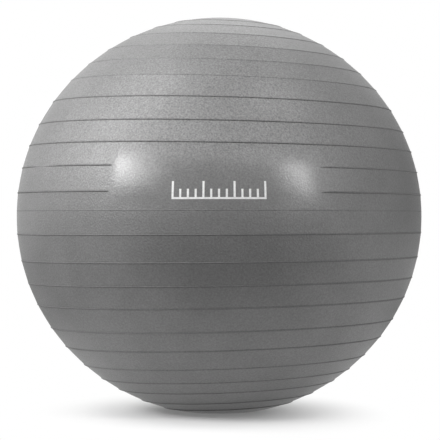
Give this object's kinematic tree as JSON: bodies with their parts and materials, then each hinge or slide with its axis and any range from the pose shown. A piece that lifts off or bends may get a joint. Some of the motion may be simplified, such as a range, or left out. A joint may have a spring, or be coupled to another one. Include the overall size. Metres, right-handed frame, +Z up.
{
  "type": "exercise ball",
  "caption": "Large inflated exercise ball with a ribbed grey skin, a smooth panel on the front, a flat patch where it rests and a push-in air plug at the back.",
  "frame": {"origin": "middle of the flat patch on which the ball rests", "axes": "+Z up, the smooth print panel faces -Y, the valve faces +Y"},
  "size_m": [0.7504, 0.7504, 0.7293],
  "materials": {
    "ball_skin": "satin grey PVC with a fine sandy grain",
    "valve_insert": "smooth satin grey PVC",
    "plug_plastic": "smooth white plastic",
    "print_ink": "white screen ink, printed on the smooth panel in the dressed model only"
  },
  "bodies": {
    "ball": {"ball_shell": "ball_skin", "valve_sleeve": "valve_insert"},
    "plug": {"plug": "plug_plastic"}
  },
  "joints": [
    {"name": "plug_pull", "type": "slide", "parent": "ball", "child": "plug", "axis": [0, 0.9884, -0.1521], "range_m": [0, 0.045]}
  ]
}
